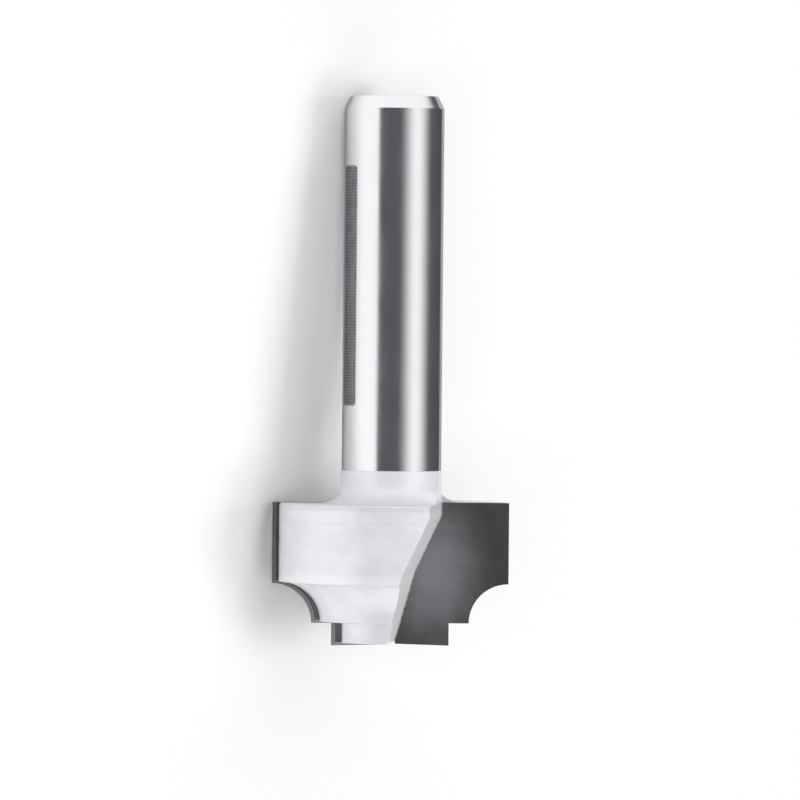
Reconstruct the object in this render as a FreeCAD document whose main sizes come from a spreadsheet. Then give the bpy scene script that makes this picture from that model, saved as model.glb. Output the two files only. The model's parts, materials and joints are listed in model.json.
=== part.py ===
import FreeCAD, Part
import math
import os
import types

import Sketcher

os.makedirs("parts", exist_ok=True)
document = FreeCAD.newDocument("groove_router_bit")

# A two-flute plunge router bit that cuts a stepped, coved groove. Millimetres and degrees.
# The pieces are drawn with the bit standing on its cutting end: z runs up the axis from the
# lowest cutting edge to the free end of the shank, and x runs out through the first cutting
# edge, whose rake face looks along -y. At the end every piece is laid down together.

DRIVING_SIZES = {
    # Plain ground shank for a collet, with a lead-in bevel at its free end
    "shank_diameter": 8.0,
    "shank_length": 30.0,
    "lead_in_length": 1.0,
    "lead_in_depth": 0.5,
    # Short neck, a hair thicker than the ground shank, that flares into the head
    "neck_top_diameter": 8.25,
    "neck_foot_diameter": 8.4,
    "neck_height": 2.6,
    "neck_fillet": 1.9,
    # Profile that the two carbide edges cut
    "cutting_diameter": 19.05,
    "cutting_height": 11.5,
    "tip_diameter": 9.525,
    "tip_height": 1.8,
    "cove_radius": 3.175,
    "dish_angle": 1.5,
    # How far the turned steel stays inside that profile
    "wing_clearance": 0.3,
    "tip_clearance": 0.3,
    "step_clearance": 0.2,
    "end_clearance": 0.3,
    "rim_bevel": 0.15,
    # Carbide plate, its seat and the silver braze around it
    "face_setback": 0.6,
    "plate_thickness": 1.6,
    "relief_angle": 12.0,
    "braze_thickness": 0.1,
    # Wall of the chip gullet: two slants up the side of the core, then straight up
    "core_half_width": 0.25,
    "lower_slant": 15.9,
    "slant_change_height": 5.9,
    "upper_slant": 24.8,
    "slant_top_height": 10.5,
    "wall_lean": 6.0,
    # Length by which a cutting outline runs past the metal it removes
    "overrun": 2.0,
}

sheet = document.addObject("Spreadsheet::Sheet", "Sizes")
for row, (name, value) in enumerate(DRIVING_SIZES.items(), start=1):
    sheet.set(f"A{row}", name)
    sheet.set(f"B{row}", str(value))
    sheet.setAlias(f"B{row}", name)
document.recompute()


class Size:
    """A number together with the sheet expression that it comes from."""

    def __init__(self, value, text):
        self.value = value
        self.text = text

    def __add__(self, other):
        other = as_size(other)
        return Size(self.value + other.value, f"({self.text} + {other.text})")

    def __sub__(self, other):
        other = as_size(other)
        return Size(self.value - other.value, f"({self.text} - {other.text})")

    def __mul__(self, other):
        other = as_size(other)
        return Size(self.value * other.value, f"({self.text} * {other.text})")

    def __truediv__(self, other):
        other = as_size(other)
        return Size(self.value / other.value, f"({self.text} / {other.text})")

    def __neg__(self):
        return Size(-self.value, f"(0 - {self.text})")


def as_size(number):
    """A plain number becomes a Size that has no cell behind it."""
    if isinstance(number, Size):
        return number
    return Size(float(number), repr(float(number)))


def tangent(angle):
    return Size(math.tan(math.radians(angle.value)), f"tan({angle.text})")


def root(square):
    return Size(math.sqrt(square.value), f"sqrt({square.text})")


size = types.SimpleNamespace(
    **{name: Size(value, f"Sizes.{name}") for name, value in DRIVING_SIZES.items()}
)
AXIS = as_size(0)

# Heights along the axis
head_top = size.cutting_height
neck_top = head_top + size.neck_height
shank_end = neck_top + size.shank_length
lead_in_start = shank_end - size.lead_in_length
cove_top = size.tip_height + size.cove_radius

# Radii of the steel
shank_radius = size.shank_diameter / 2
neck_top_radius = size.neck_top_diameter / 2
neck_foot_radius = size.neck_foot_diameter / 2
wing_radius = size.cutting_diameter / 2 - size.wing_clearance
steel_tip_radius = size.tip_diameter / 2 - size.tip_clearance


def edge_reach(diameter):
    """Distance from the mid plane to a cutting edge that lies in the plane of the rake face."""
    radius = diameter / 2
    return root(radius * radius - size.face_setback * size.face_setback)


outer_reach = edge_reach(size.cutting_diameter)
tip_reach = edge_reach(size.tip_diameter)

# Foot of the gullet wall in the plane of the rake face
wall_change_x = size.core_half_width + size.slant_change_height * tangent(size.lower_slant)
wall_top_x = wall_change_x + (
    size.slant_top_height - size.slant_change_height
) * tangent(size.upper_slant)

# Limits that lie outside all of the metal
below = -size.overrun
beyond = size.cutting_diameter / 2 + size.overrun

# How a sketch refers to its own origin and to the points of a side
ORIGIN = -1
SIDE_POINTS = ("whole side", "start", "end")
START = SIDE_POINTS.index("start")
END = SIDE_POINTS.index("end")


def new_body(name):
    body = document.addObject("PartDesign::Body", name)
    body.Label = name
    return body


def new_sketch(body, name, setback=None):
    """A sketch in the body's upright plane, or in a plane set back from it along y."""
    sketch = body.newObject("Sketcher::SketchObject", name)
    upright = next(item for item in body.Origin.OriginFeatures if item.Role == "XZ_Plane")
    sketch.AttachmentSupport = (upright, [""])
    sketch.MapMode = "FlatFace"
    if setback is not None:
        sketch.setExpression("AttachmentOffset.Base.z", (-setback).text)
    return sketch


def dimension(sketch, kind, distance, *places):
    """Add one dimension and tie it to the sheet."""
    index = sketch.addConstraint(Sketcher.Constraint(kind, *places, distance.value))
    sketch.setExpression(f"Constraints[{index}]", distance.text)


def draw_outline(sketch, corners, arcs=None):
    """Draw a closed outline and tie each corner to the sheet.

    A key of arcs is the number of the corner that the arc leaves; its value is the centre,
    the radius and the two angles between which the arc is drawn.
    """
    arcs = arcs or {}
    points = [FreeCAD.Vector(x.value, y.value, 0) for x, y in corners]
    count = len(points)
    for number in range(count):
        if number in arcs:
            centre, radius, first, last = arcs[number]
            middle = FreeCAD.Vector(centre[0].value, centre[1].value, 0)
            circle = Part.Circle(middle, FreeCAD.Vector(0, 0, 1), radius.value)
            arc = Part.ArcOfCircle(circle, math.radians(first), math.radians(last))
            sketch.addGeometry(arc)
            dimension(sketch, "Radius", radius, number)
        else:
            sketch.addGeometry(Part.LineSegment(points[number], points[(number + 1) % count]))
    for number, (x, y) in enumerate(corners):
        leaving = END if number in arcs else START
        arriving = START if (number - 1) % count in arcs else END
        before = (number - 1) % count
        sketch.addConstraint(Sketcher.Constraint("Coincident", before, arriving, number, leaving))
        dimension(sketch, "DistanceX", x, ORIGIN, START, number, leaving)
        dimension(sketch, "DistanceY", y, ORIGIN, START, number, leaving)


def turn_blank(body):
    """Turn the whole steel outline, shank, neck and stepped head, before any milling."""
    sketch = new_sketch(body, "turned_outline")
    step_z = size.tip_height + size.step_clearance
    fillet_reach = neck_foot_radius + size.neck_fillet
    fillet_z = head_top + size.neck_fillet
    corners = [
        (AXIS, size.end_clearance),
        (steel_tip_radius, size.end_clearance),
        (steel_tip_radius, step_z),
        (wing_radius - size.cove_radius, step_z),
        (wing_radius, step_z + size.cove_radius),
        (wing_radius, head_top - size.rim_bevel),
        (wing_radius - size.rim_bevel, head_top),
        (fillet_reach, head_top),
        (neck_foot_radius, fillet_z),
        (neck_top_radius, neck_top),
        (shank_radius, neck_top),
        (shank_radius, lead_in_start),
        (shank_radius - size.lead_in_depth, shank_end),
        (AXIS, shank_end),
    ]
    arcs = {
        3: ((wing_radius, step_z), size.cove_radius, 90, 180),
        7: ((fillet_reach, fillet_z), size.neck_fillet, 180, 270),
    }
    draw_outline(sketch, corners, arcs)
    blank = body.newObject("PartDesign::Revolution", "turned_blank")
    blank.Profile = sketch
    blank.ReferenceAxis = (sketch, ["V_Axis"])
    blank.Angle = 360
    return blank


def gullet_outline(sketch, top, inset=AXIS):
    """Outline of what is milled away outside the gullet wall, as seen on the rake face."""
    corners = [
        (size.core_half_width + inset, below),
        (size.core_half_width + inset, AXIS),
        (wall_change_x + inset, size.slant_change_height),
        (wall_top_x + inset, size.slant_top_height),
        (wall_top_x + inset, top),
        (beyond, top),
        (beyond, below),
    ]
    draw_outline(sketch, corners)


def make_steel_body():
    """Shank, neck and head in one piece, with two gullets and two plate seats milled in it."""
    body = new_body("steel_body")
    blank = turn_blank(body)

    # The gullet opens forwards from the rake face and its wall leans back over the wing.
    gullet_sketch = new_sketch(body, "gullet_outline", size.face_setback)
    gullet_outline(gullet_sketch, neck_top)
    gullet = body.newObject("PartDesign::Pocket", "gullet")
    gullet.Profile = gullet_sketch
    gullet.UseCustomVector = True
    gullet.Direction = FreeCAD.Vector(-math.tan(math.radians(size.wall_lean.value)), -1, 0)
    gullet.setExpression("Direction.x", (-tangent(size.wall_lean)).text)
    gullet.AlongSketchNormal = True
    gullet.setExpression("Length", (size.face_setback + beyond).text)

    # The seat is milled straight back from the same outline, by the plate and its braze.
    seat_sketch = new_sketch(body, "seat_outline", size.face_setback)
    gullet_outline(seat_sketch, neck_top)
    seat = body.newObject("PartDesign::Pocket", "plate_seat")
    seat.Profile = seat_sketch
    seat.setExpression("Length", (size.plate_thickness + size.braze_thickness).text)

    both_flutes = body.newObject("PartDesign::PolarPattern", "both_flutes")
    both_flutes.Originals = [gullet, seat]
    both_flutes.Axis = blank.ReferenceAxis
    both_flutes.Angle = 360
    both_flutes.Occurrences = 2
    body.Tip = both_flutes
    document.recompute()
    steps = [blank, gullet, seat, both_flutes]
    for before, after in zip(steps, steps[1:]):
        if after.Shape.Volume >= before.Shape.Volume:
            raise ValueError(f"{after.Name} removes nothing")
    return body


def make_carbide_tip(name):
    """A flat plate with the whole cutting profile ground on it and relieved behind its edge."""
    body = new_body(name)
    ground_sketch = new_sketch(body, "ground_profile", size.face_setback)
    far_side = -beyond
    over_top = head_top + size.overrun
    dish_rise = (tip_reach - far_side) * tangent(size.dish_angle)
    corners = [
        (far_side, dish_rise),
        (tip_reach, AXIS),
        (tip_reach, size.tip_height),
        (outer_reach - size.cove_radius, size.tip_height),
        (outer_reach, cove_top),
        (outer_reach, over_top),
        (far_side, over_top),
    ]
    cove_centre = (outer_reach, size.tip_height)
    draw_outline(ground_sketch, corners, {3: (cove_centre, size.cove_radius, 90, 180)})
    plate = body.newObject("PartDesign::Pad", "ground_plate")
    plate.Profile = ground_sketch
    plate.Reversed = True
    plate.setExpression("Length", size.plate_thickness.text)
    plate.setExpression("TaperAngle", (-size.relief_angle).text)

    # The inner edge follows the gullet wall, one braze joint away; the top is square.
    trim_sketch = new_sketch(body, "inner_edge", size.face_setback)
    inner = size.braze_thickness
    high = over_top + size.overrun
    corners = [
        (size.core_half_width + inner, below),
        (size.core_half_width + inner, AXIS),
        (wall_change_x + inner, size.slant_change_height),
        (wall_top_x + inner, size.slant_top_height),
        (wall_top_x + inner, head_top),
        (beyond, head_top),
        (beyond, high),
        (far_side - size.overrun, high),
        (far_side - size.overrun, below),
    ]
    draw_outline(trim_sketch, corners)
    trim = body.newObject("PartDesign::Pocket", "inner_edge_cut")
    trim.Profile = trim_sketch
    trim.setExpression("Length", (size.plate_thickness + size.overrun).text)
    document.recompute()
    if trim.Shape.Volume >= plate.Shape.Volume:
        raise ValueError("inner_edge_cut removes nothing")
    return body


def make_braze_seam(name, trim_body):
    """The thin silver layer behind a plate and along its inner edge."""
    stock = new_body(name + "_stock")
    layer_sketch = new_sketch(stock, "layer_outline", size.face_setback)
    gullet_outline(layer_sketch, head_top)
    layer = stock.newObject("PartDesign::Pad", "layer")
    layer.Profile = layer_sketch
    layer.Reversed = True
    layer.setExpression("Length", (size.plate_thickness + size.braze_thickness).text)

    plate_sketch = new_sketch(stock, "plate_outline", size.face_setback)
    gullet_outline(plate_sketch, head_top + size.overrun, size.braze_thickness)
    plate_room = stock.newObject("PartDesign::Pocket", "plate_room")
    plate_room.Profile = plate_sketch
    plate_room.setExpression("Length", size.plate_thickness.text)

    # Braze stays only where the turned steel stands behind it.
    seam = document.addObject("Part::Common", name)
    seam.Label = name
    seam.Base = stock
    seam.Tool = trim_body
    document.recompute()
    if plate_room.Shape.Volume >= layer.Shape.Volume:
        raise ValueError("plate_room removes nothing")
    return seam


steel_body = make_steel_body()
seam_limit = new_body("seam_limit")
turn_blank(seam_limit)
document.recompute()

HALF_TURN = 180
pieces = {"steel_body": (steel_body, 0)}
for flute in (1, 2):
    turn = HALF_TURN * (flute - 1)
    tip_name = f"carbide_tip_{flute}"
    seam_name = f"braze_seam_{flute}"
    pieces[tip_name] = (make_carbide_tip(tip_name), turn)
    pieces[seam_name] = (make_braze_seam(seam_name, seam_limit), turn)


def wing_corner():
    """Trailing corner of the front wing at the widest height of the head."""
    slope = math.tan(math.radians(size.wall_lean.value))
    start = wall_top_x.value - size.face_setback.value * slope
    half = start * slope
    square = 1 + slope * slope
    y = (-half - math.sqrt(half * half - square * (start * start - wing_radius.value**2))) / square
    return FreeCAD.Vector(start + slope * y, y, head_top.value - size.rim_bevel.value)


def resting_down():
    """Direction of the floor, seen by the bit, when it lies on its back flute.

    It then touches at the trailing corner of the back wing, at the top of the second cutting
    edge and at the rim of the shank's end bevel.
    """
    corner = wing_corner()
    wing = FreeCAD.Vector(-corner.x, -corner.y, corner.z)
    edge = FreeCAD.Vector(-outer_reach.value, -size.face_setback.value, head_top.value)
    across = FreeCAD.Vector(wing.x - edge.x, wing.y - edge.y, 0)
    gap = across.Length
    across.normalize()
    outward = FreeCAD.Vector(-across.y, across.x, 0)
    if outward.dot(edge) < 0:
        outward = -outward
    slope = 0.0
    side = outward
    settling_rounds = 20
    for _ in range(settling_rounds):
        share = -slope * (wing.z - edge.z) / gap
        side = across * share + outward * math.sqrt(1 - share * share)
        slope = (side.dot(edge) - shank_radius.value) / (lead_in_start.value - edge.z)
    down = FreeCAD.Vector(side.x, side.y, slope)
    return down.normalize()


# The bit lies with its cutting end towards +x and its shank towards -x.
up = -resting_down()
forward = FreeCAD.Vector(0, 0, -1)
forward = (forward - up * forward.dot(up)).normalize()
sideways = up.cross(forward)
laying = FreeCAD.Matrix(
    forward.x, forward.y, forward.z, 0,
    sideways.x, sideways.y, sideways.z, 0,
    up.x, up.y, up.z, 0,
    0, 0, 0, 1,
)
laid = FreeCAD.Placement(laying)


def placed(turn, lying):
    return lying.multiply(FreeCAD.Placement(FreeCAD.Vector(), FreeCAD.Vector(0, 0, 1), turn))


bounds = FreeCAD.BoundBox()
for piece, turn in pieces.values():
    piece.Placement = placed(turn, laid)
    bounds.add(piece.Shape.optimalBoundingBox(False, False))
laid.Base = FreeCAD.Vector(-bounds.Center.x, -bounds.Center.y, -bounds.ZMin)
for piece, turn in pieces.values():
    piece.Placement = placed(turn, laid)
document.recompute()

for item in document.Objects:
    if "Invalid" in item.State or "Error" in item.State:
        raise ValueError(f"{item.Name} did not build: {item.State}")
for name, (piece, turn) in pieces.items():
    if piece.Shape.isNull() or not piece.Shape.isValid():
        raise ValueError(f"{name} has no sound shape")
    piece.Shape.exportStep(f"parts/{name}.step")
    print(name, "volume", round(piece.Shape.Volume, 3), "solids", len(piece.Shape.Solids))
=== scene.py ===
import json
import math

import bmesh
import bpy
from mathutils import Matrix, Vector

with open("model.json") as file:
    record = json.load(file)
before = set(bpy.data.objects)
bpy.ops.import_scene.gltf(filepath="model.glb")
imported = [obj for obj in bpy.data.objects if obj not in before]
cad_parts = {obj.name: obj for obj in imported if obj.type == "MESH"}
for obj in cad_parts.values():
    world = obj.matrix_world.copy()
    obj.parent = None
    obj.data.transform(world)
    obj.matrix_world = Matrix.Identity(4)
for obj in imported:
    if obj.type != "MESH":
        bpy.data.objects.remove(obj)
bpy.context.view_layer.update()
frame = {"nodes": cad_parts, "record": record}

# The lying bit
# A two-flute router bit that rests on its back flute. Its own z runs up the axis from the lowest
# cutting edge to the free end of the shank, x out through the first cutting edge, and y away from
# the first rake face. Finishes and camera are placed in this frame, in millimetres.
MM = 0.001
nodes = frame["nodes"]
steel = nodes["steel_body"]
tips = [nodes["carbide_tip_1"], nodes["carbide_tip_2"]]
seams = [nodes["braze_seam_1"], nodes["braze_seam_2"]]

shank_mount = next(mount for mount in frame["record"]["mounts"] if mount["name"] == "shank")
shank_radius = shank_mount["dims"]["r_mm"]
along = Vector(shank_mount["axis"]).normalized()
middle = Vector(shank_mount["pos_m"])
rake_face = max(tips[0].data.polygons, key=lambda face: face.area)
back = -rake_face.normal
back = (back - along * back.dot(along)).normalized()
out = back.cross(along)
lowest = min((corner.co - middle).dot(along) for tip in tips for corner in tip.data.vertices)
tip_end = middle + along * lowest

bit_place = Matrix((out, back, along)).transposed().to_4x4()
bit_place.translation = tip_end
bit_place = bit_place @ Matrix.Scale(MM, 4)
to_bit = bit_place.inverted()

neck_top = (to_bit @ middle).z - shank_mount["dims"]["length_mm"] / 2
head_top = max((to_bit @ corner.co).z for corner in tips[0].data.vertices)
bit_end = max((to_bit @ corner.co).z for corner in steel.data.vertices)


# Steel body: ground shank
# Hardened steel, ground bright to the collet size, with very fine rings from the wheel. A plain
# strip along one side is etched a dull grey in close, even lines; it bears no mark. Its dark tone is
# partly painted shade: it also stands for the dark reflection of the shaded floor along that side.
GROUND_TONES = (0.90, 0.905, 0.925, 1), (0.955, 0.96, 0.965, 1)
GROUND_ROUGHNESS = (0.17, 0.25)
GROUND_EDGE_TINT = (0.35, 0.35, 0.36, 1)
RING_DEPTH = 0.0008
SHANK_EDGE = 0.06
FACED_TONE = (0.66, 0.665, 0.68, 1)
FACED_DULLER = 0.12
FACED_DEEPER = 5.0
END_RINGS = 5.0
END_DEPTH = 0.02
# Tone of the etched strip, partly painted shade: dark enough to stand for the dark reflection along that
# side.
ETCH_AND_PAINTED_SHADE_TONE = (0.17, 0.17, 0.185, 1)
ETCHED_DULLER = 0.25
STRIP_TURN = math.radians(-119.0)
STRIP_HALF_WIDTH = 0.98
STRIP_MIDDLE = 28.9
STRIP_HALF_LENGTH = 9.6
STRIP_CORNER = 0.3
STRIP_SOFT = 0.16
STRIP_LINE_PITCH = 0.24


def new_material(name):
    """A node material, its tree and its main shader."""
    made = bpy.data.materials.new(name)
    made.use_nodes = True
    return made, made.node_tree, made.node_tree.nodes["Principled BSDF"]


def put(tree, kind, inputs=None, **settings):
    """Add a node. An input that is given a socket is linked, and any other is set."""
    made = tree.nodes.new("ShaderNode" + kind)
    for name, value in settings.items():
        setattr(made, name, value)
    for key, value in (inputs or {}).items():
        if isinstance(value, bpy.types.NodeSocket):
            tree.links.new(value, made.inputs[key])
        else:
            made.inputs[key].default_value = value
    return made


def maths(tree, operation, first, second=0.0):
    return put(tree, "Math", {0: first, 1: second}, operation=operation).outputs[0]


def spread(tree, value, low, high, to_low, to_high, kind="SMOOTHSTEP"):
    """Carry a value from one range to another, held at both ends."""
    ends = {"Value": value, "From Min": low, "From Max": high, "To Min": to_low, "To Max": to_high}
    return put(tree, "MapRange", ends, interpolation_type=kind).outputs["Result"]


def mix_colour(tree, factor, first, second):
    made = put(tree, "Mix", {"Factor": factor, 6: first, 7: second}, data_type="RGBA")
    return made.outputs[2]


def on_bit(tree, stretch=(1, 1, 1)):
    """Place on the bit in millimetres, stretched along its own axes."""
    laid = {
        "Vector": put(tree, "TexCoord").outputs["Object"],
        "Location": tip_end,
        "Rotation": bit_place.to_euler(),
        "Scale": (MM, MM, MM),
    }
    place = put(tree, "Mapping", laid, vector_type="TEXTURE").outputs["Vector"]
    return put(tree, "Mapping", {"Vector": place, "Scale": stretch}).outputs["Vector"]


def length(tree, x, y):
    """How far the point x, y is from nought."""
    flat = put(tree, "CombineXYZ", {"X": x, "Y": y}).outputs["Vector"]
    return put(tree, "VectorMath", {0: flat}, operation="LENGTH").outputs["Value"]


def noise(tree, vector, scale, detail=3.0, roughness=0.55):
    look = {"Vector": vector, "Scale": scale, "Detail": detail, "Roughness": roughness}
    return put(tree, "TexNoise", look).outputs["Fac"]


def bump(tree, height, depth_mm, normal=None):
    inputs = {"Height": height, "Strength": 1.0, "Distance": depth_mm * MM}
    if normal is not None:
        inputs["Normal"] = normal
    return put(tree, "Bump", inputs).outputs["Normal"]


def soft_edges(tree, radius_mm):
    """Normals that round each sharp edge over a small radius."""
    return put(tree, "Bevel", {"Radius": radius_mm * MM}, samples=6).outputs["Normal"]


def etched_and_shaded_strip(tree):
    """One inside the etched strip and nought outside it, a little less between its lines. Its dark tone
    is partly painted shade, for the dark reflection along that side of the shank.
    """
    parts = put(tree, "SeparateXYZ", {"Vector": on_bit(tree)})
    turn = maths(tree, "ARCTAN2", parts.outputs["X"], parts.outputs["Y"])
    aside = maths(tree, "SUBTRACT", turn, STRIP_TURN)
    aside = maths(tree, "ABSOLUTE", maths(tree, "MULTIPLY", aside, shank_radius))
    aside = maths(tree, "SUBTRACT", aside, STRIP_HALF_WIDTH - STRIP_CORNER)
    beyond = maths(tree, "ABSOLUTE", maths(tree, "SUBTRACT", parts.outputs["Z"], STRIP_MIDDLE))
    beyond = maths(tree, "SUBTRACT", beyond, STRIP_HALF_LENGTH - STRIP_CORNER)
    off = length(tree, maths(tree, "MAXIMUM", aside, 0.0), maths(tree, "MAXIMUM", beyond, 0.0))
    inside = spread(tree, off, STRIP_CORNER + STRIP_SOFT / 2, STRIP_CORNER - STRIP_SOFT / 2, 0.0, 1.0)
    in_pitch = maths(tree, "PINGPONG", parts.outputs["Z"], STRIP_LINE_PITCH / 2)
    line = spread(tree, in_pitch, 0.0, STRIP_LINE_PITCH / 2, 0.84, 1.0)
    grain = noise(tree, on_bit(tree, (2.0, 2.0, 1.0)), 1.0, detail=4)
    grain = spread(tree, grain, 0.3, 0.7, 0.9, 1.0)
    return maths(tree, "MULTIPLY", inside, maths(tree, "MULTIPLY", line, grain))


def ground_steel():
    made, tree, shader = new_material("ground_steel")
    parts = put(tree, "SeparateXYZ", {"Vector": on_bit(tree)})
    radius = length(tree, parts.outputs["X"], parts.outputs["Y"])
    turned = put(tree, "CombineXYZ", {"X": maths(tree, "MULTIPLY", radius, END_RINGS)})
    facing_rings = noise(tree, turned.outputs["Vector"], 1.0, detail=3, roughness=0.7)
    grinding_rings = noise(tree, on_bit(tree, (0.12, 0.12, 16.0)), 1.0, detail=4, roughness=0.7)
    on_end = maths(tree, "GREATER_THAN", parts.outputs["Z"], bit_end - END_DEPTH)
    rings = put(tree, "Mix", {"Factor": on_end, 2: grinding_rings, 3: facing_rings}).outputs[0]
    smudge = noise(tree, on_bit(tree, (1.0, 1.0, 0.35)), 0.55, detail=4)
    etch_and_shade = etched_and_shaded_strip(tree)

    tone = mix_colour(tree, smudge, *GROUND_TONES)
    # Etched strip, partly painted shade: its dark grey also stands for the dark reflection of the shaded
    # floor.
    tone = mix_colour(tree, etch_and_shade, tone, ETCH_AND_PAINTED_SHADE_TONE)
    faced = maths(tree, "MULTIPLY", on_end, spread(tree, rings, 0.35, 0.65, 1.0, 0.35))
    tone = mix_colour(tree, faced, tone, FACED_TONE)
    tree.links.new(tone, shader.inputs["Base Color"])

    dull = spread(tree, smudge, 0.25, 0.8, *GROUND_ROUGHNESS)
    dull = maths(tree, "ADD", dull, maths(tree, "MULTIPLY", etch_and_shade, ETCHED_DULLER))
    dull = maths(tree, "ADD", dull, maths(tree, "MULTIPLY", on_end, FACED_DULLER))
    tree.links.new(dull, shader.inputs["Roughness"])
    shader.inputs["Metallic"].default_value = 1.0
    shader.inputs["Specular Tint"].default_value = GROUND_EDGE_TINT
    depth = maths(tree, "MULTIPLY", rings, spread(tree, on_end, 0.0, 1.0, 1.0, FACED_DEEPER, "LINEAR"))
    tree.links.new(bump(tree, depth, RING_DEPTH, soft_edges(tree, SHANK_EDGE)), shader.inputs["Normal"])
    return made


# Steel body: coated neck and head
# Neck and head are turned, then milled for the gullets and the plate seats, and get a pale
# silver-white satin coat. Turning rings show faintly through it. A band round the head just above the
# cove is painted paler, a painted highlight.
# The milled gullet walls get a brighter copy of the coat: painted light, for the light that falls on
# those walls.
COAT_TONES = (0.785, 0.781, 0.817, 1), (0.862, 0.858, 0.89, 1)
# Painted light: the gullet walls take a brighter copy of the coat, standing for the light that falls on
# them.
GULLET_PAINTED_LIGHT_TONES = (0.87, 0.868, 0.893, 1), (0.91, 0.908, 0.93, 1)
GULLET_REACH = 4.6
COAT_METAL = 0.2
COAT_ROUGHNESS = (0.30, 0.43)
COAT_RELIEF = 0.004
HEAD_EDGE = 0.08
SHOULDER_HIGHLIGHT_TONE = (0.95, 0.95, 0.96, 1)
SHOULDER_BAND = (5.2, 6.3)
# Painted shade: the tone that the coat turns towards just under the head's top rim.
RIM_SHADE_TONE = (0.62, 0.62, 0.65, 1)
RIM_BAND = 0.5
RIM_SOFT = 0.15
RING_LINE_TONE = (0.6, 0.6, 0.63, 1)
RING_LINE = 1.45
RING_LINE_WIDTH = 0.16


def satin_coat(name, darker, lighter):
    made, tree, shader = new_material(name)
    place = on_bit(tree)
    cloud = noise(tree, place, 0.45, detail=5, roughness=0.6)
    grain = noise(tree, place, 9.0, detail=3, roughness=0.7)
    rings = noise(tree, on_bit(tree, (0.05, 0.05, 7.0)), 1.0, detail=3, roughness=0.6)
    height = put(tree, "SeparateXYZ", {"Vector": place}).outputs["Z"]

    tone = mix_colour(tree, spread(tree, cloud, 0.3, 0.7, 0.0, 1.0), darker, lighter)
    # Painted highlight: a band round the head just above the cove is mixed towards a paler tone.
    low, high = SHOULDER_BAND
    highlight_start = spread(tree, height, low - 0.05, low + 0.1, 0.0, 1.0)
    painted_highlight = maths(tree, "MULTIPLY", highlight_start, spread(tree, height, low + 0.3, high, 1.0, 0.0))
    tone = mix_colour(tree, maths(tree, "MULTIPLY", painted_highlight, 0.6), tone, SHOULDER_HIGHLIGHT_TONE)
    # Painted shade: the coat turns greyer in a band just under the head's top rim.
    rim_start = head_top - RIM_BAND
    painted_rim_shade = spread(tree, height, rim_start - RIM_SOFT, rim_start + RIM_SOFT, 0.0, 0.4)
    painted_rim_shade = maths(tree, "MULTIPLY", painted_rim_shade, maths(tree, "LESS_THAN", height, head_top + 0.01))
    tone = mix_colour(tree, painted_rim_shade, tone, RIM_SHADE_TONE)
    from_line = maths(tree, "ABSOLUTE", maths(tree, "SUBTRACT", height, head_top - RING_LINE))
    ring_line = spread(tree, from_line, RING_LINE_WIDTH, 0.0, 0.0, 1.0)
    tone = mix_colour(tree, maths(tree, "MULTIPLY", ring_line, 0.14), tone, RING_LINE_TONE)
    tree.links.new(tone, shader.inputs["Base Color"])

    tree.links.new(spread(tree, grain, 0.3, 0.7, *COAT_ROUGHNESS), shader.inputs["Roughness"])
    shader.inputs["Metallic"].default_value = COAT_METAL
    relief = maths(tree, "ADD", maths(tree, "MULTIPLY", rings, 0.7), maths(tree, "MULTIPLY", grain, 0.3))
    relief = maths(tree, "SUBTRACT", relief, maths(tree, "MULTIPLY", ring_line, 0.8))
    tree.links.new(bump(tree, relief, COAT_RELIEF, soft_edges(tree, HEAD_EDGE)), shader.inputs["Normal"])
    return made


HEAD_SLOT, GULLET_PAINTED_LIGHT_SLOT, SHANK_SLOT = range(3)
steel.data.materials.clear()
steel.data.materials.append(satin_coat("satin_coat", *COAT_TONES))
# Brighter copy of the coat for the gullet walls: painted light.
steel.data.materials.append(satin_coat("satin_coat_gullet_painted_light", *GULLET_PAINTED_LIGHT_TONES))
steel.data.materials.append(ground_steel())
for face in steel.data.polygons:
    place = to_bit @ face.center
    face.material_index = HEAD_SLOT
    if place.z > neck_top:
        face.material_index = SHANK_SLOT
    elif place.z < head_top and abs(place.x) < GULLET_REACH and abs(face.normal.dot(out)) > 0.9:
        face.material_index = GULLET_PAINTED_LIGHT_SLOT


# Carbide plates
# Sintered tungsten carbide, ground over the whole cutting profile with a diamond wheel: dark grey
# and half dull. The middle of each rake face, next to the gullet wall, is painted a shade lighter: a
# painted reflection.
CARBIDE_TONES = (0.058, 0.058, 0.062, 1), (0.073, 0.073, 0.078, 1)
CARBIDE_METAL = 0.35
CARBIDE_ROUGHNESS = (0.34, 0.48)
CARBIDE_LINE_DEPTH = 0.0012
CARBIDE_EDGE = 0.04
SPECK_TONE = (0.3, 0.3, 0.31, 1)
# Painted reflection: the lighter tone in the middle of each rake face.
PAINTED_REFLECTION_TONE = (0.225, 0.225, 0.24, 1)
REFLECTION_CENTRE = (3.6, 6.0)
REFLECTION_REACH = (4.3, 6.6)


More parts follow.
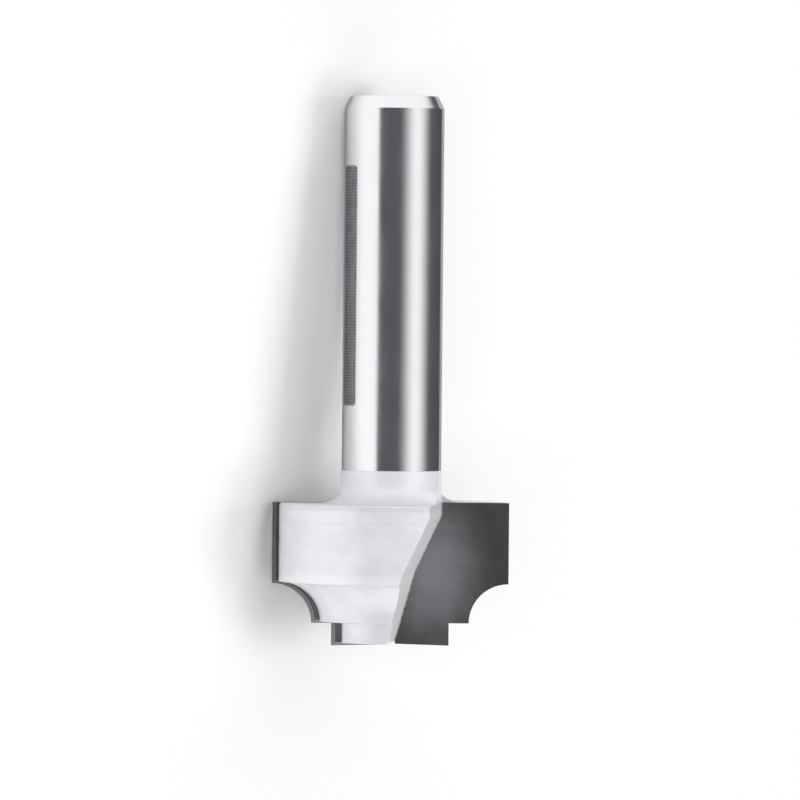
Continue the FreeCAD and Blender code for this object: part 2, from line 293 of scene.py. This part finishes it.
def ground_carbide():
    made, tree, shader = new_material("ground_carbide")
    place = on_bit(tree)
    lines = noise(tree, on_bit(tree, (0.6, 0.6, 22.0)), 1.0, detail=4, roughness=0.7)
    speck = noise(tree, place, 14.0, detail=2, roughness=0.8)
    cloud = noise(tree, place, 0.6, detail=4)
    parts = put(tree, "SeparateXYZ", {"Vector": place})
    aside = maths(tree, "SUBTRACT", maths(tree, "ABSOLUTE", parts.outputs["X"]), REFLECTION_CENTRE[0])
    above = maths(tree, "SUBTRACT", parts.outputs["Z"], REFLECTION_CENTRE[1])
    aside = maths(tree, "DIVIDE", aside, REFLECTION_REACH[0])
    away = length(tree, aside, maths(tree, "DIVIDE", above, REFLECTION_REACH[1]))
    away = maths(tree, "ADD", away, spread(tree, cloud, 0.2, 0.8, -0.12, 0.12))
    painted_reflection = spread(tree, away, 1.15, 0.1, 0.0, 1.0)

    tone = mix_colour(tree, spread(tree, cloud, 0.3, 0.7, 0.0, 1.0), *CARBIDE_TONES)
    # Painted reflection: a lighter patch in the middle of each rake face.
    tone = mix_colour(tree, painted_reflection, tone, PAINTED_REFLECTION_TONE)
    tone = mix_colour(tree, spread(tree, speck, 0.62, 0.8, 0.0, 0.3), tone, SPECK_TONE)
    tree.links.new(tone, shader.inputs["Base Color"])
    shader.inputs["Metallic"].default_value = CARBIDE_METAL
    tree.links.new(spread(tree, lines, 0.3, 0.7, *CARBIDE_ROUGHNESS), shader.inputs["Roughness"])
    ground = bump(tree, lines, CARBIDE_LINE_DEPTH, soft_edges(tree, CARBIDE_EDGE))
    tree.links.new(ground, shader.inputs["Normal"])
    return made


carbide = ground_carbide()
for tip in tips:
    tip.data.materials.clear()
    tip.data.materials.append(carbide)


# Silver braze
# A foil of silver solder, melted between plate and seat, holds each plate. It shows as a thin
# bright line along the plate's inner edge and behind its back.
BRAZE_TONES = (0.70, 0.67, 0.60, 1), (0.86, 0.84, 0.79, 1)
BRAZE_ROUGHNESS = (0.25, 0.45)
BRAZE_RIPPLE_DEPTH = 0.02


def silver_braze():
    made, tree, shader = new_material("silver_braze")
    ripple = noise(tree, on_bit(tree), 3.0, detail=4)
    tree.links.new(mix_colour(tree, ripple, *BRAZE_TONES), shader.inputs["Base Color"])
    shader.inputs["Metallic"].default_value = 1.0
    tree.links.new(spread(tree, ripple, 0.3, 0.7, *BRAZE_ROUGHNESS), shader.inputs["Roughness"])
    tree.links.new(bump(tree, ripple, BRAZE_RIPPLE_DEPTH), shader.inputs["Normal"])
    return made


braze = silver_braze()
for seam in seams:
    seam.data.materials.clear()
    seam.data.materials.append(braze)


# Floor
# A large matt white sheet that the bit lies on.
FLOOR_REACH = 4.0
SHEET_TONES = (0.90, 0.90, 0.90, 1), (0.92, 0.92, 0.92, 1)
SHEET_FIBRE = 900.0


def white_sheet():
    made, tree, shader = new_material("white_sheet")
    fibre = noise(tree, put(tree, "TexCoord").outputs["Object"], SHEET_FIBRE, detail=2)
    tree.links.new(mix_colour(tree, fibre, *SHEET_TONES), shader.inputs["Base Color"])
    shader.inputs["Roughness"].default_value = 1.0
    shader.inputs["Specular IOR Level"].default_value = 0.0
    return made


floor_mesh = bpy.data.meshes.new("floor")
floor_shape = bmesh.new()
bmesh.ops.create_grid(floor_shape, x_segments=1, y_segments=1, size=FLOOR_REACH)
floor_shape.to_mesh(floor_mesh)
floor_shape.free()
floor = bpy.data.objects.new("floor", floor_mesh)
bpy.context.scene.collection.objects.link(floor)
floor_mesh.materials.append(white_sheet())

# Light
# A plain white tent: one long soft bank overhead, which draws the bright stripe on the shank, pale
# ends, and a dim front where the camera looks in. Two large lamps outside it only fill.
BANK_CORE = 2.0
BANK_EDGE = 42.0
TENT_TONE = (0.98, 0.98, 0.98, 1)
ROOM_TONE = (0.088, 0.087, 0.097, 1)
END_START = 0.5
END_FULL = 0.68
LAMP_AWAY = 1.2
LAMP_SIZE = 0.6
FILLS = {"front_fill": (36, 0.40), "back_fill": (116, 0.37)}

world = bpy.data.worlds.new("tent")
bpy.context.scene.world = world
world.use_nodes = True
sky = world.node_tree
sky.nodes.clear()
heading = put(sky, "SeparateXYZ", {"Vector": put(sky, "TexCoord").outputs["Generated"]})
from_top = maths(sky, "ABSOLUTE", maths(sky, "ARCTAN2", heading.outputs["Y"], heading.outputs["Z"]))
bank = spread(sky, maths(sky, "DEGREES", from_top), BANK_EDGE, BANK_CORE, 0.0, 1.0)
ends = spread(sky, maths(sky, "ABSOLUTE", heading.outputs["X"]), END_START, END_FULL, 0.0, 1.0)
tent = mix_colour(sky, maths(sky, "MAXIMUM", bank, ends), ROOM_TONE, TENT_TONE)
put(sky, "OutputWorld", {"Surface": put(sky, "Background", {"Color": tent}).outputs[0]})


def fill_lamp(name, rise, level):
    """A large square lamp, set by its angle over the floor from the camera's side."""
    data = bpy.data.lights.new(name, "AREA")
    data.shape = "SQUARE"
    data.size = LAMP_SIZE
    data.energy = level * (math.pi * LAMP_AWAY) ** 2
    made = bpy.data.objects.new(name, data)
    bpy.context.scene.collection.objects.link(made)
    turn = math.radians(rise)
    away = Vector((0, -math.cos(turn), math.sin(turn)))
    made.location = away * LAMP_AWAY
    made.rotation_euler = away.to_track_quat("Z", "Y").to_euler()
    made.visible_glossy = False
    made.visible_camera = False


for lamp_name, (lamp_rise, lamp_level) in FILLS.items():
    fill_lamp(lamp_name, lamp_rise, lamp_level)

# Camera
# Square to the rake face and level with the bit's upper half, from about half a metre. The
# picture's up is the shank's direction, so the camera looks down on the lying bit.
PICTURE = 800
PX_PER_MM = 12.45
TIP_PX = 645.8
AXIS_PX = 392.0
EYE_PX = 290
CAMERA_AWAY = 530
LEAN = math.radians(0.53)
SENSOR_WIDTH = 36

centre_x = (PICTURE / 2 - AXIS_PX) / PX_PER_MM
centre_z = (TIP_PX - PICTURE / 2) / PX_PER_MM
eye_z = (TIP_PX - EYE_PX) / PX_PER_MM
eye = bit_place @ Vector((centre_x, -CAMERA_AWAY, eye_z))
target = bit_place @ Vector((centre_x, 0, centre_z))
look = (target - eye).normalized()
right = look.cross(along).normalized()
camera_data = bpy.data.cameras.new("camera")
camera = bpy.data.objects.new("camera", camera_data)
bpy.context.scene.collection.objects.link(camera)
camera_place = Matrix((right, right.cross(look), -look)).transposed().to_4x4()
camera_place = camera_place @ Matrix.Rotation(LEAN, 4, "Z")
camera_place.translation = eye
camera.matrix_world = camera_place
camera_data.sensor_width = SENSOR_WIDTH
camera_data.lens = SENSOR_WIDTH * CAMERA_AWAY * PX_PER_MM / PICTURE
camera_data.clip_start = 0.01
bpy.context.scene.camera = camera
bpy.context.scene.view_settings.view_transform = "Standard"
